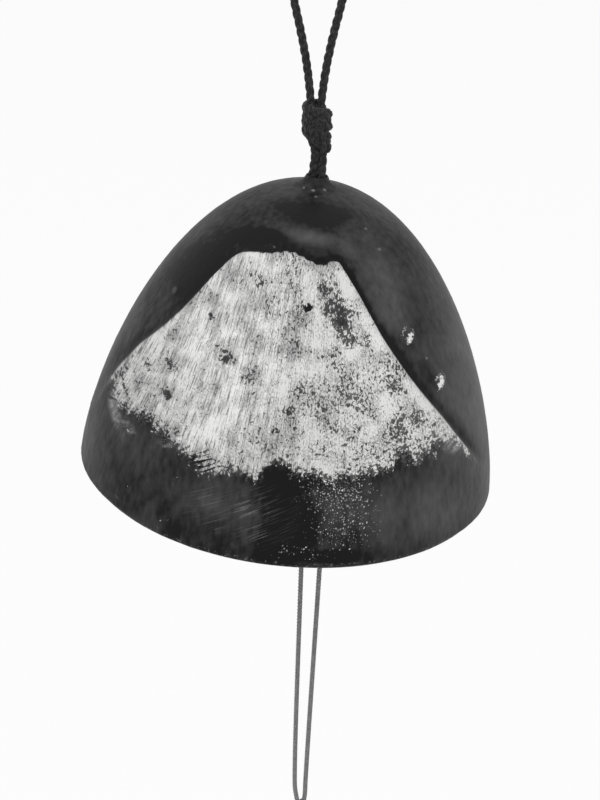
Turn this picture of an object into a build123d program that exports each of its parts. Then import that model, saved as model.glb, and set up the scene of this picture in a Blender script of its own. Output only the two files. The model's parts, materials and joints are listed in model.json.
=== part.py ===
from build123d import *
from math import cos, radians, sin, sqrt, tan
import os

# A cast-iron wind bell on a knotted cord, with its clapper, two threads and a paper strip.
# Millimetres. The origin is where a hook carries the loop, +Z is up and the mountain faces -Y.

# Hanging cord, a limp round cord folded in two
CORD_DIAMETER = 1.5
CORD_SPACING = 1.7
LOOP_LENGTH = 38.0
LOOP_WIDTH = 10.0
KNOT_UPPER_RADIUS = 2.8
KNOT_LOWER_RADIUS = 2.2
KNOT_PITCH = 4.1
KNOT_WRAP_RADIUS = 1.9
KNOT_WRAP_TILT = 25.0
NECK_LENGTH = 6.7
NECK_LEAN = 2.0

# Bell, a dome of revolution that hangs a little askew on its knot
BELL_TILT = 4.8
RIM_RADIUS = 38.0
DOME_HEIGHT = 53.8
DOME_RISE_POWER = 1.46
DOME_ROUND_POWER = 2.08
DOME_STEPS = 7
WALL = 3.0
CROWN_WALL = 3.4
BOSS_HEIGHT = 0.7
BOSS_TOP_RADIUS = 2.6
BOSS_FOOT_RADIUS = 3.8
BOSS_ROOT = 1.0
CORD_HOLE_RADIUS = 1.9
RIM_ROUNDING = 0.6

# Mountain, a raised layer that fades out above the rim
MOUNTAIN_LEAN = 2.8
MOUNTAIN_FOOT = 6.0
MOUNTAIN_RIDGE = [
    (-36.9, 9.0), (-27.1, 26.4), (-18.2, 37.4), (-11.9, 44.6), (-9.8, 45.6), (-5.8, 46.0), (-3.3, 46.8),
    (-1.1, 46.7), (1.2, 45.7), (4.5, 46.0), (6.1, 45.2), (8.5, 42.8), (11.2, 38.8), (18.4, 30.3),
    (26.3, 20.5), (36.7, 7.0),
]

# Clapper, a disc on a cord inside the bell
STOP_KNOT_RADIUS = 3.3
HITCH_RADIUS = 1.7
CLAPPER_DROP = 41.0
CLAPPER_RADIUS = 13.0
CLAPPER_THICKNESS = 4.0
CLAPPER_ROUNDING = 1.4
CLAPPER_HOLE_RADIUS = 1.1
CLAPPER_KNOT_RADIUS = 2.4

# Threads and paper strip
THREAD_DIAMETER = 0.9
THREAD_LENGTH = 76.0
THREAD_TOP_SPACING = 3.4
THREAD_FOOT_SPACING = 1.9
STRIP_KNOT_RADIUS = 1.5
STRIP_LOOP_HEIGHT = 7.4
STRIP_LOOP_RADIUS = 2.7
STRIP_WIDTH = 46.0
STRIP_LENGTH = 112.0
STRIP_THICKNESS = 0.4
STRIP_CURL_RADIUS = 160.0
STRIP_HOLE_RADIUS = 1.8
STRIP_HOLE_INSET = 6.0

# Clearances
SEAT_GAP = 0.3
THREAD_GAP = 0.2

os.makedirs("parts", exist_ok=True)


def dome_height_at(radius, rim_radius, height):
    """Height of the dome's outline above the rim at a radius."""
    return height * (1 - (radius / rim_radius) ** DOME_ROUND_POWER) ** (1 / DOME_RISE_POWER)


def dome_solid(rim_radius, height):
    """A solid dome on the XY plane, turned from a smooth outline."""
    turns = [radians(90 * step / DOME_STEPS) for step in range(DOME_STEPS)]
    outline = [
        (rim_radius * cos(turn) ** (2 / DOME_ROUND_POWER), height * sin(turn) ** (2 / DOME_RISE_POWER))
        for turn in turns
    ]
    with BuildPart() as dome:
        with BuildSketch(Plane.XZ):
            with BuildLine():
                Spline(*outline, (0, height), tangents=[(0, 1), (-1, 0)])
                Polyline((0, height), (0, 0), (rim_radius, 0))
            make_face()
        revolve(axis=Axis.Z)
    return dome.part


def corner_radii(points):
    """The largest arc that fits each corner of a cord's route."""
    radii = []
    for before, here, after in zip(points, points[1:], points[2:]):
        run_in = Vector(*here) - Vector(*before)
        run_out = Vector(*after) - Vector(*here)
        half_turn = radians(run_in.get_angle(run_out)) / 2
        radii.append(0.45 * min(run_in.length, run_out.length) / tan(half_turn))
    return radii


def cord_path(name, points):
    """A cord's centre line: straight runs joined by tangent arcs."""
    radii = corner_radii(points)
    with BuildLine() as path:
        if radii:
            FilletPolyline(*points, radius=radii)
        else:
            Line(*points)
    wire = path.wire()
    print(name, "length", round(wire.length, 2), "radii", [round(radius, 1) for radius in radii])
    return wire


def start_plane(path):
    """The plane across a path at its start."""
    return Plane(path @ 0, z_dir=path % 0)


# Places down the cord: the knot, the bend where the neck enters the crown, and the bell's own frame
neck_down = Vector(sin(radians(NECK_LEAN)), 0, -cos(radians(NECK_LEAN)))
bell_up = Vector(sin(radians(BELL_TILT)), 0, cos(radians(BELL_TILT)))
knot_upper = Vector(0, 0, -LOOP_LENGTH)
knot_lower = knot_upper + neck_down * KNOT_PITCH
neck_bend = knot_lower + neck_down * NECK_LENGTH
rim_centre = neck_bend - bell_up * (DOME_HEIGHT + BOSS_HEIGHT)
bell_frame = Plane(rim_centre, x_dir=bell_up.cross(Vector(0, -1, 0)), z_dir=bell_up)

# The stop knot's round top sits in the lower edge of the crown's hole
inner_radius = RIM_RADIUS - WALL
inner_height = DOME_HEIGHT - CROWN_WALL
hole_edge_height = dome_height_at(CORD_HOLE_RADIUS, inner_radius, inner_height)
stop_knot_height = hole_edge_height - sqrt((STOP_KNOT_RADIUS + SEAT_GAP) ** 2 - CORD_HOLE_RADIUS ** 2)
stop_centre = rim_centre + bell_up * stop_knot_height

# Everything below hangs plumb from the stop knot
hitch_centre = stop_centre - Vector(0, 0, STOP_KNOT_RADIUS + SEAT_GAP + HITCH_RADIUS)
clapper_centre = hitch_centre - Vector(0, 0, CLAPPER_DROP)
clapper_knot_centre = clapper_centre - Vector(0, 0, CLAPPER_THICKNESS / 2 + SEAT_GAP + CLAPPER_KNOT_RADIUS)
strip_knot_centre = clapper_knot_centre - Vector(0, 0, THREAD_LENGTH)
loop_top = strip_knot_centre - Vector(0, 0, STRIP_KNOT_RADIUS + SEAT_GAP + THREAD_DIAMETER / 2)
loop_foot = loop_top - Vector(0, 0, STRIP_LOOP_HEIGHT)
strip_hole = loop_foot - Vector(0, 0, STRIP_HOLE_RADIUS - THREAD_DIAMETER / 2 - THREAD_GAP)
strip_top = strip_hole + Vector(0, 0, STRIP_HOLE_INSET)

# Hanging loop, which goes over a hook of up to its inner width
loop_end = -LOOP_LENGTH + KNOT_UPPER_RADIUS + SEAT_GAP
loop_side = [
    (CORD_SPACING / 2, 0, loop_end),
    (2.0, 0, -26.5),
    (5.1, 0, -14.0),
    (LOOP_WIDTH / 2, 0, CORD_DIAMETER / 2),
]
loop_points = loop_side + [(-x, y, z) for x, y, z in reversed(loop_side)]
loop_path = cord_path("hanging_loop", loop_points)
with BuildPart() as hanging_loop:
    with BuildSketch(start_plane(loop_path)):
        Circle(CORD_DIAMETER / 2)
    sweep(path=loop_path)
hanging_loop.part.label = "hanging_loop"

# Top knot, two lumps with one wrap of the cord at the waist
knot_waist = Plane(knot_upper + neck_down * (KNOT_PITCH / 2), z_dir=neck_down)
with BuildPart() as top_knot:
    with Locations(knot_upper):
        Sphere(KNOT_UPPER_RADIUS)
    with Locations(knot_lower):
        Sphere(KNOT_LOWER_RADIUS)
    with Locations(knot_waist.rotated((0, KNOT_WRAP_TILT, 0))):
        Torus(KNOT_WRAP_RADIUS, CORD_DIAMETER / 2)
top_knot.part.label = "top_knot"

# Neck, two strands that bend where they enter the crown
neck_start = knot_lower + neck_down * (KNOT_LOWER_RADIUS + SEAT_GAP)
neck_end = stop_centre + bell_up * (STOP_KNOT_RADIUS + SEAT_GAP)
with BuildPart() as neck_strands:
    for side in (-1, 1):
        offset = Vector(side * CORD_SPACING / 2, 0, 0)
        strand_path = cord_path("neck_strand", [tuple(p + offset) for p in (neck_start, neck_bend, neck_end)])
        with BuildSketch(start_plane(strand_path)):
            Circle(CORD_DIAMETER / 2)
        sweep(path=strand_path)
neck_strands.part.label = "neck_strands"

# Mountain, cut from a dome that leans forward out of the bell's wall
lean_axis = Axis((0, -RIM_RADIUS / 2, MOUNTAIN_FOOT), (1, 0, 0))
foot_left, foot_right = MOUNTAIN_RIDGE[0], MOUNTAIN_RIDGE[-1]
with BuildPart() as mountain:
    with BuildSketch(Plane.XZ):
        with BuildLine():
            Polyline(*MOUNTAIN_RIDGE, (foot_right[0], 0), (foot_left[0], 0), close=True)
        make_face()
    extrude(amount=2 * RIM_RADIUS)
    add(dome_solid(RIM_RADIUS, DOME_HEIGHT).rotate(lean_axis, MOUNTAIN_LEAN), mode=Mode.INTERSECT)

# Bell, cast upright on its own rim plane and then hung in its frame
with BuildPart() as casting:
    add(dome_solid(RIM_RADIUS, DOME_HEIGHT))
    with Locations((0, 0, DOME_HEIGHT - BOSS_ROOT)):
        Cone(
            BOSS_FOOT_RADIUS,
            BOSS_TOP_RADIUS,
            BOSS_ROOT + BOSS_HEIGHT,
            align=(Align.CENTER, Align.CENTER, Align.MIN),
        )
    add(mountain.part)
    add(dome_solid(inner_radius, inner_height), mode=Mode.SUBTRACT)
    Hole(CORD_HOLE_RADIUS)
    fillet(casting.edges().group_by(Axis.Z)[0], RIM_ROUNDING)
with BuildPart() as bell:
    add(casting.part.moved(bell_frame.location))
bell.part.label = "bell"

# Stop knot under the crown
with BuildPart() as stop_knot:
    with Locations(stop_centre):
        Sphere(STOP_KNOT_RADIUS)
stop_knot.part.label = "stop_knot"

# Hitch of the clapper's cord, under the stop knot
with BuildPart() as clapper_hitch:
    with Locations(hitch_centre):
        Sphere(HITCH_RADIUS)
clapper_hitch.part.label = "clapper_hitch"

# Clapper's cord, straight from the hitch through the disc
clapper_cord_top = hitch_centre - Vector(0, 0, HITCH_RADIUS + SEAT_GAP)
clapper_cord_foot = clapper_knot_centre + Vector(0, 0, CLAPPER_KNOT_RADIUS + SEAT_GAP)
clapper_path = cord_path("clapper_cord", [tuple(clapper_cord_top), tuple(clapper_cord_foot)])
with BuildPart() as clapper_cord:
    with BuildSketch(start_plane(clapper_path)):
        Circle(CORD_DIAMETER / 2)
    sweep(path=clapper_path)
clapper_cord.part.label = "clapper_cord"

# Clapper, a rounded disc with a hole for its cord
with BuildPart() as clapper:
    with Locations(clapper_centre):
        Cylinder(CLAPPER_RADIUS, CLAPPER_THICKNESS)
    fillet(clapper.edges().filter_by(GeomType.CIRCLE), CLAPPER_ROUNDING)
    with Locations(clapper_centre + Vector(0, 0, CLAPPER_THICKNESS / 2)):
        Hole(CLAPPER_HOLE_RADIUS)
clapper.part.label = "clapper"

# Knot under the clapper
with BuildPart() as clapper_knot:
    with Locations(clapper_knot_centre):
        Sphere(CLAPPER_KNOT_RADIUS)
clapper_knot.part.label = "clapper_knot"


def thread_points(side):
    """The two ends of a thread, from the clapper's knot down to the strip's knot."""
    top = clapper_knot_centre + Vector(side * THREAD_TOP_SPACING / 2, 0, -CLAPPER_KNOT_RADIUS)
    foot = strip_knot_centre + Vector(side * THREAD_FOOT_SPACING / 2, 0, STRIP_KNOT_RADIUS + SEAT_GAP)
    return [tuple(top), tuple(foot)]


# Threads, pulled straight by the strip
left_path = cord_path("thread_left", thread_points(-1))
with BuildPart() as thread_left:
    with BuildSketch(start_plane(left_path)):
        Circle(THREAD_DIAMETER / 2)
    sweep(path=left_path)
thread_left.part.label = "thread_left"

right_path = cord_path("thread_right", thread_points(1))
with BuildPart() as thread_right:
    with BuildSketch(start_plane(right_path)):
        Circle(THREAD_DIAMETER / 2)
    sweep(path=right_path)
thread_right.part.label = "thread_right"

# Knot that gathers the threads
with BuildPart() as strip_knot:
    with Locations(strip_knot_centre):
        Sphere(STRIP_KNOT_RADIUS)
strip_knot.part.label = "strip_knot"

# Loop of thread through the strip's hole, one side of it and its mirror image
loop_plane = Plane((loop_top + loop_foot) * 0.5, x_dir=(0, 1, 0), z_dir=(1, 0, 0))
half_height = STRIP_LOOP_HEIGHT / 2
half_run = half_height - STRIP_LOOP_RADIUS
with BuildLine(loop_plane) as side_line:
    RadiusArc((0, half_height), (STRIP_LOOP_RADIUS, half_run), STRIP_LOOP_RADIUS)
    Line((STRIP_LOOP_RADIUS, half_run), (STRIP_LOOP_RADIUS, -half_run))
    RadiusArc((STRIP_LOOP_RADIUS, -half_run), (0, -half_height), STRIP_LOOP_RADIUS)
side_path = side_line.wire()
print("strip_loop length", round(2 * side_path.length, 2), "radius", STRIP_LOOP_RADIUS)
with BuildPart() as strip_loop:
    with BuildSketch(start_plane(side_path)):
        Circle(THREAD_DIAMETER / 2)
    sweep(path=side_path)
    mirror(about=Plane.XZ)
strip_loop.part.label = "strip_loop"

# Paper strip, a thin sheet with a slight curl across its width
curl_centre = (strip_top.X, STRIP_CURL_RADIUS)
with BuildPart() as paper_strip:
    with BuildSketch(Plane.XY.offset(strip_top.Z)):
        with Locations(curl_centre):
            Circle(STRIP_CURL_RADIUS + STRIP_THICKNESS / 2)
            Circle(STRIP_CURL_RADIUS - STRIP_THICKNESS / 2, mode=Mode.SUBTRACT)
        with Locations((strip_top.X, 0)):
            Rectangle(STRIP_WIDTH, STRIP_WIDTH, mode=Mode.INTERSECT)
    extrude(amount=-STRIP_LENGTH)
    with Locations(Plane(strip_hole, z_dir=(0, -1, 0))):
        Hole(STRIP_HOLE_RADIUS)
paper_strip.part.label = "paper_strip"

export_step(hanging_loop.part, "parts/hanging_loop.step")
export_step(top_knot.part, "parts/top_knot.step")
export_step(neck_strands.part, "parts/neck_strands.step")
export_step(bell.part, "parts/bell.step")
export_step(stop_knot.part, "parts/stop_knot.step")
export_step(clapper_hitch.part, "parts/clapper_hitch.step")
export_step(clapper_cord.part, "parts/clapper_cord.step")
export_step(clapper.part, "parts/clapper.step")
export_step(clapper_knot.part, "parts/clapper_knot.step")
export_step(thread_left.part, "parts/thread_left.step")
export_step(thread_right.part, "parts/thread_right.step")
export_step(strip_knot.part, "parts/strip_knot.step")
export_step(strip_loop.part, "parts/strip_loop.step")
export_step(paper_strip.part, "parts/paper_strip.step")
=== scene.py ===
import json
import math

import bpy
import numpy as np
from bpy.props import FloatProperty, FloatVectorProperty, PointerProperty
from mathutils import Matrix, Vector


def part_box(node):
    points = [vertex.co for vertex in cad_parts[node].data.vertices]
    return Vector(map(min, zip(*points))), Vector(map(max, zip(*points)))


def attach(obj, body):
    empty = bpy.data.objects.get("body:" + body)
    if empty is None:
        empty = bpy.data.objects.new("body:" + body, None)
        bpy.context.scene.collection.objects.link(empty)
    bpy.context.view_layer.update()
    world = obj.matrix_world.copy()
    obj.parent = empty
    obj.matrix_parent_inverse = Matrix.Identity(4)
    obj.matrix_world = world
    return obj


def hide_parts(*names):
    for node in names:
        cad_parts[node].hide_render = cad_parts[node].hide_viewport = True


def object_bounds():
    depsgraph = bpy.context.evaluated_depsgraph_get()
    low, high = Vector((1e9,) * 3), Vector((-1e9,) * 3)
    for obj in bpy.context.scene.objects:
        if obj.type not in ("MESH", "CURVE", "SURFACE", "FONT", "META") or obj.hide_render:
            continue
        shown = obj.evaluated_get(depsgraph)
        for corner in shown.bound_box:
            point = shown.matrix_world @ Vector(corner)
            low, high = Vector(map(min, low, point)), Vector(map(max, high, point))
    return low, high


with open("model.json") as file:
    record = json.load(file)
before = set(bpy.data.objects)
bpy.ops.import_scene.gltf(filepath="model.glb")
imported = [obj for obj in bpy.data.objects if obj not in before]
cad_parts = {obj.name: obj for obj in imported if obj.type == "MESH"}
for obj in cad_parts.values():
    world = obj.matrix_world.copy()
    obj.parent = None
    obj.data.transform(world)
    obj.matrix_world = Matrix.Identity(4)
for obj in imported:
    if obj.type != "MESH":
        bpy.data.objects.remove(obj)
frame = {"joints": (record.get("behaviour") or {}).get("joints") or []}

bl_info = {
    "name": "Cast-iron wind bell",
    "version": (1, 0, 0),
    "blender": (4, 5, 0),
    "location": "3D View > Sidebar > Wind bell",
    "description": "Dresses the wind bell: its cords and knots, cast bell, clapper, paper strip and stage",
    "category": "Object",
}

# Blender works in metres. Sizes, routes and patterns are in millimetres where a comment doesn't say otherwise
MM = 0.001

# Things that a new Blender file starts with are no part of the bell
for leftover in ("Cube", "Light", "Camera"):
    if leftover in bpy.data.objects:
        bpy.data.objects.remove(bpy.data.objects[leftover])
CAD_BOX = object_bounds()

# Places that the frame gives: the pivots down the cord and the bell's leaning axis
JOINTS = {joint["name"]: joint for joint in frame["joints"]}
PIVOT = {name: Vector(joint["pos_m"]) for name, joint in JOINTS.items()}
BELL_UP = Vector(JOINTS["bell_turn"]["axis"]).normalized()
BELL_TILT = math.atan2(BELL_UP.x, BELL_UP.z)
NECK_TOP = PIVOT["cord_nod"]
NECK_DOWN = (NECK_TOP - PIVOT["cord_sway"]).normalized()
STOP_CENTRE = PIVOT["bell_turn"]
HITCH_CENTRE = PIVOT["clapper_swing"]
CLAPPER_KNOT_CENTRE = PIVOT["thread_nod"]
STRIP_KNOT_CENTRE = PIVOT["strip_flap"]
FRONT = Vector((0.0, -1.0, 0.0))

# The camera as fitted to the photograph, with its frame and focal length in pixels
IMAGE_HEIGHT = 800
FOCAL_PIXELS = 1584.3
SENSOR_HEIGHT = 36.0
CAMERA_PLACE = (-1.933, -264.767, 29.170)
CAMERA_AIM = (-1.807, 0.0, -90.694)
CAMERA_ROLL = math.radians(1.022)
CAMERA_NEAR = 10.0

# The stage in metres: the floor, and each lamp's name, place, side and watts
FLOOR_SIDE = 12.0
FLOOR_DROP = 0.03
LAMP_AIM = Vector((0.0, 0.0, -0.08))
LAMPS = [
    ("key_lamp", (-0.75, -0.75, 0.65), 0.9, 6.5),
    ("fill_lamp", (0.95, -0.55, 0.2), 0.9, 3.0),
    ("top_lamp", (0.1, 0.25, 1.0), 0.8, 2.0),
]

# Strengths of the surroundings' even light and of its white, and the floor's share of pure white
WHITE = (1.0, 1.0, 1.0, 1.0)
EVEN_LIGHT = 0.45
SURROUNDINGS_WHITE = 1.0
FLOOR_WHITE_SHARE = 0.93

# Laid cord: its strands, how far they press into each other, and the spacing of points along each cord
STRANDS = 3
STRAND_PRESS = 1.25
CORD_STEP = 0.35
HITCH_STEP = 0.25
THREAD_STEP = 0.2
CORD_MERGE = 0.001

# Cord spreads to this many times its thickness where it is knotted, and where it is pulled into the bell
KNOT_SWELL = 1.28
NECK_SWELL = 1.16

# The right side of the loop from inside the knot to the hook: heights of its end, then x and z
LOOP_END_HEIGHTS = (-36.5, -34.9)
LOOP_SIDE = [(2.0, -26.5), (5.1, -14.0), (5.0, 0.75)]

# The top knot bulges to the right. Two strands run through it, given by their drop, middle and half spread
KNOT_CENTRE = PIVOT["cord_sway"] + Vector((0.25 * MM, 0.0, 0.0))
KNOT_CORE = [(-2.2, 0.0, 0.7), (0.0, 0.0, 0.9), (3.4, 0.0, 0.9), (6.2, 0.35, 0.5)]
# Three strands wrap them, given by their shift in spreads and how far they are drawn in
KNOT_WRAPS = [(-1.0, 0.0), (0.0, 0.12), (1.0, 0.0)]
# A wrap's course: its turn in degrees, and its drop, radius and spread there
WRAP_COURSE = [
    (-120, -1.6, 0.5, 0.4), (-60, -1.4, 1.3, 0.7), (0, -1.1, 1.7, 0.8), (180, 0.5, 1.75, 1.1),
    (360, 1.25, 1.8, 0.65), (540, 4.4, 1.6, 0.95), (660, 5.9, 0.4, 0.4),
]
WRAP_STEP = 10

# The neck's two strands at the knot, in the collar and at the stop knot: middle and half spread
NECK_AT_KNOT = (0.62, 0.48)
NECK_AT_COLLAR = (0.1, 0.82)
NECK_AT_STOP = (0.0, 0.7)
NECK_BELOW_PIVOT = 0.8
NECK_ABOVE_STOP = 1.6

# The clapper's cord starts in its hitch and ends at the top of the knot under the clapper
CORD_BELOW_HITCH = 0.4
CORD_ABOVE_KNOT = 2.3
CORD_SHARES = (0.0, 0.22, 0.78, 1.0)

# The threads' route from the clapper's knot, and then to the strip's knot: middle, half spread and height
THREAD_TOP = [(0.0, 0.9, -1.3), (1.25, 1.95, -2.9), (1.3, 1.9, -7.8)]
THREAD_FOOT = [(-0.3, 1.2, 7.2), (0.0, 0.9, 2.0), (0.0, 0.5, 0.6)]

# Powers of the dome's outline, and the spacing of points up its outside and inside
DOME_RISE_POWER = 1.46
DOME_ROUND_POWER = 2.08
OUTSIDE_SPACING = 0.5
INSIDE_SPACING = 1.8

# The collar's flare, out from its foot's radius and up from the dome's height, and the hole's eased edge
COLLAR_FLARE = [
    (-0.4, 0.03), (-0.9, 0.17), (-1.3, 0.42), (-1.58, 0.75), (-1.76, 1.1), (-1.88, 1.34), (-1.97, 1.43),
    (-2.05, 1.4), (-2.08, 1.28),
]
COLLAR_ASIDE = 0.06
HOLE_EDGE_OUT = 0.4
HOLE_EDGE_UP = 0.3

# The bell's section is spun through a fine sector for its front and a coarse one for its back, in degrees
FIRST_ANGLE = -195.0
FRONT_ANGLE = 210.0
FRONT_STEPS = 280
BACK_STEPS = 50
CLAPPER_STEPS = 120
SPIN_MERGE = 0.002

# Swells of the castings: their width and height
BELL_SWELLS = (1.3, 0.07)
CLAPPER_SWELLS = (1.6, 0.08)

# The mountain's lean in degrees, and its ridge and snow line as x and z on the bell's front
MOUNTAIN_LEAN = 2.8
RIDGE = [
    (-36.9, 9.0), (-32.7, 18.1), (-30.6, 22.0), (-27.5, 26.7), (-20.8, 34.6), (-15.7, 41.2), (-13.1, 44.0),
    (-11.5, 45.2), (-9.6, 45.7), (-6.9, 46.0), (-4.1, 46.7), (-2.8, 46.7), (-1.1, 46.2), (0.7, 45.6),
    (2.0, 45.4), (3.0, 46.0), (4.1, 46.2), (5.2, 45.3), (8.1, 42.0), (12.9, 35.6), (16.4, 31.4),
    (19.4, 27.9), (24.8, 21.9), (28.7, 17.0), (36.7, 6.2),
]
SNOW_LINE = [
    (-33.0, 16.4), (-29.4, 16.0), (-26.3, 17.0), (-23.8, 17.8), (-22.6, 16.6), (-20.6, 16.5), (-19.0, 15.4),
    (-17.5, 15.4), (-16.4, 13.3), (-14.0, 12.5), (-10.5, 13.6), (-8.2, 14.5), (-6.8, 13.7), (-4.9, 13.7),
    (-4.6, 15.2), (-2.9, 16.7), (-1.5, 16.0), (0.3, 14.4), (4.0, 15.0), (5.7, 14.5), (11.8, 14.5),
    (13.2, 15.5), (15.7, 15.2), (16.5, 16.7), (18.5, 17.1), (20.0, 15.2), (22.4, 17.1), (26.4, 17.2),
    (28.9, 15.3), (31.1, 13.2), (32.3, 12.4), (33.0, 14.0), (36.0, 20.0),
]
# What stands for the depth below the ridge where there is no front
OFF_FRONT = -20.0

# Lumps in the casting: centre x, y and z, half width, height and how much silver their tops took
LUMPS = [
    (17.9, -19.1, 35.3, 0.60, 0.40, 0.0), (17.7, -19.7, 34.7, 0.65, 0.45, 0.0),
    (17.5, -20.3, 34.1, 0.50, 0.35, 0.0), (16.5, -19.8, 35.8, 0.40, 0.25, 0.0),
    (24.2, -18.2, 27.5, 0.65, 0.45, 0.0), (24.1, -18.8, 26.9, 0.70, 0.50, 0.0),
    (23.8, -19.6, 26.1, 0.50, 0.35, 0.0), (23.3, -19.2, 27.8, 0.40, 0.25, 0.0),
    (-22.3, -12.4, 36.3, 0.90, 0.16, 0.1), (-2.1, -3.2, 53.6, 0.35, 0.25, 0.3),
    (-0.5, -4.0, 53.4, 0.45, 0.30, 0.45), (1.4, -3.4, 53.6, 0.40, 0.22, 0.25),
    (0.0, -5.8, 53.1, 0.30, 0.18, 0.35), (8.8, -9.9, 49.6, 0.30, 0.15, 0.25),
    (11.3, -12.2, 47.0, 0.40, 0.20, 0.25), (-6.2, -15.6, 46.8, 0.25, 0.15, 0.3),
    (20.9, -19.4, 31.2, 0.30, 0.15, 0.3), (-19.4, -30.7, 10.3, 0.35, 0.25, 0.9),
    (-13.8, -34.4, 7.1, 0.35, 0.20, 0.8), (-31.4, -21.0, 2.1, 0.50, 0.25, 0.3),
    (-28.8, -24.5, 2.2, 0.40, 0.20, 0.3),
]

# Patches on the bell's front: centre x and z, half width and height, turn in degrees, depth.
# First where the silver is bare, and where it is clean of specks
BARE_PATCHES = [
    (2.4, 42.4, 1.4, 1.7, -30.0, 0.95), (3.8, 40.7, 2.2, 2.1, -40.0, 0.6),
    (5.4, 39.0, 2.1, 2.2, -40.0, 0.48), (6.4, 37.2, 1.8, 2.0, -30.0, 0.65),
    (7.4, 35.7, 1.5, 1.6, -20.0, 0.75), (0.2, 40.1, 1.1, 0.55, -22.0, 1.5),
    (-8.4, 42.8, 2.0, 1.1, 25.0, 0.45), (-12.0, 30.7, 1.9, 0.8, -8.0, 0.6),
    (-15.5, 35.8, 0.5, 0.6, 0.0, 1.0), (-21.4, 22.4, 1.1, 0.9, 0.0, 0.6),
    (-25.7, 25.1, 1.3, 0.9, 30.0, 0.5), (-21.6, 26.9, 1.6, 1.0, 20.0, 0.45),
    (-29.6, 19.8, 2.4, 0.5, 55.0, 0.6), (-8.2, 29.8, 1.7, 2.2, 0.0, 0.3), (12.1, 30.2, 2.4, 1.6, 0.0, 0.14),
    (15.7, 28.4, 1.6, 1.4, 0.0, 0.2), (-0.2, 28.0, 1.6, 1.2, 0.0, 0.36), (-3.4, 21.6, 0.9, 0.8, 0.0, 0.9),
    (-1.5, 24.6, 1.0, 1.2, 30.0, 0.5), (17.7, 18.6, 1.6, 1.1, 0.0, 0.45), (3.0, 25.0, 3.5, 2.2, 0.0, 0.16),
    (21.5, 22.0, 1.2, 0.9, 0.0, 0.3), (20.0, 21.0, 7.0, 6.0, 0.0, 0.13),
    (-16.5, 39.4, 1.8, 0.5, 50.0, 0.35),
]
CLEAN_BANDS = [
    (6.0, 43.3, 1.3, 3.6, -40.0, 0.4), (11.4, 36.6, 1.3, 5.5, -39.0, 0.4),
    (19.8, 26.5, 1.3, 6.0, -40.0, 0.4), (29.5, 15.2, 0.9, 3.4, -40.0, 0.5),
    (-12.5, 22.0, 3.0, 9.0, 16.0, 0.15), (-18.0, 31.0, 2.0, 8.0, 32.0, 0.12),
]
# Where the lacquer is lighter, from haze and painted sheen and reflections, and where painted shade makes it
# darkest
HAZE_AND_SHEEN_PATCHES = [
    (30.0, 22.0, 14.0, 30.0, -12.0, 0.85), (27.0, 8.0, 14.0, 11.0, 0.0, 0.8),
    (-0.5, 48.7, 8.0, 1.2, 4.0, 1.05), (5.8, 47.6, 4.2, 1.5, 25.0, 0.6),
    (-35.0, 13.0, 7.0, 14.0, 0.0, 0.35), (13.0, 41.0, 5.0, 10.0, -35.0, 0.85),
    (-30.0, 30.0, 8.0, 14.0, 35.0, 0.15), (17.5, 8.0, 6.0, 8.0, 0.0, 0.7), (-13.0, 9.0, 9.0, 6.0, 0.0, 0.6),
    (9.0, 10.5, 7.0, 5.5, 0.0, 0.5), (-27.0, 11.0, 8.0, 7.0, 0.0, 0.2),
]
PAINTED_SHADE_PATCHES = [
    (0.5, 5.0, 6.0, 9.0, 25.0, 0.9), (-20.0, 9.0, 6.0, 8.0, 0.0, 0.15), (0.0, 51.4, 9.0, 1.6, 0.0, 0.6),
    (-9.0, 47.6, 10.0, 1.4, -14.0, 0.5), (22.0, 28.3, 1.4, 4.5, -40.0, 0.75),
    (-19.0, 40.5, 2.6, 9.0, 42.0, 0.5), (7.0, 1.6, 8.0, 1.6, 0.0, 0.8), (-1.5, 12.5, 6.0, 4.0, 0.0, 0.45),
    (7.5, 11.5, 5.0, 4.0, 0.0, 0.25),
]
# Where scratches, short strokes, wispy smears and silver grit lie at the snow's edge and below it. The grit
# also paints the sparkle of the cast grain as small highlights
SCRATCHES = [(-5.0, 7.6, 8.0, 6.0, 0.0, 1.0), (-12.0, 7.0, 7.0, 6.0, 0.0, 0.6)]
STROKES = [(-14.6, 14.4, 3.4, 2.4, -20.0, 0.9)]
SMEARS = [
    (-31.0, 15.4, 1.8, 3.6, -25.0, 1.0), (-28.5, 14.6, 2.6, 1.4, 20.0, 0.8),
    (-20.8, 15.2, 2.4, 1.0, -20.0, 0.7), (27.3, 16.9, 1.7, 3.6, -48.0, 0.8),
]
GRIT_AND_SPARKLE = [(8.2, 12.0, 8.0, 4.8, 0.0, 1.5), (9.0, 7.0, 9.0, 7.0, 0.0, 0.85), (2.5, 2.2, 9.0, 2.6, 0.0, 0.45)]
# Painted highlights: bright silver on the two largest groups of lumps stands in for their glints
PAINTED_GLINTS = [
    (17.7, 34.8, 0.5, 1.0, 22.0, 1.0), (16.55, 35.85, 0.17, 0.65, 18.0, 0.7),
    (24.05, 26.9, 0.55, 1.1, 16.0, 1.0), (23.35, 27.8, 0.16, 0.6, 49.0, 0.7),
]

# The way that scratches and low strokes lean, in the bell's upright plane
SCRATCH_TURN = math.radians(-29.0)
# The depth of a pattern that doesn't change through the bell's front
THROUGH = 1000.0
# The dryness where the brush never reached
UNREACHED = 1.4

# The two cottons, and the widths of their fibres, drawn coarser than real ones so that they show
BLACK_COTTON = "Twisted black cotton cord"
GREY_COTTON = "Twisted grey cotton thread"
BLACK_FIBRE = 0.32
GREY_FIBRE = 0.08


def linear(hex_colour):
    """An sRGB hex colour as linear red, green, blue and alpha."""
    channels = [int(hex_colour[start:start + 2], 16) / 255 for start in (1, 3, 5)]
    return (*(c / 12.92 if c <= 0.04045 else ((c + 0.055) / 1.055) ** 2.4 for c in channels), 1.0)


def length_size(name, description, millimetres):
    """A length that a user may change."""
    return FloatProperty(
        name=name, description=description, default=millimetres * MM, precision=5, unit="LENGTH"
    )


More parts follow.
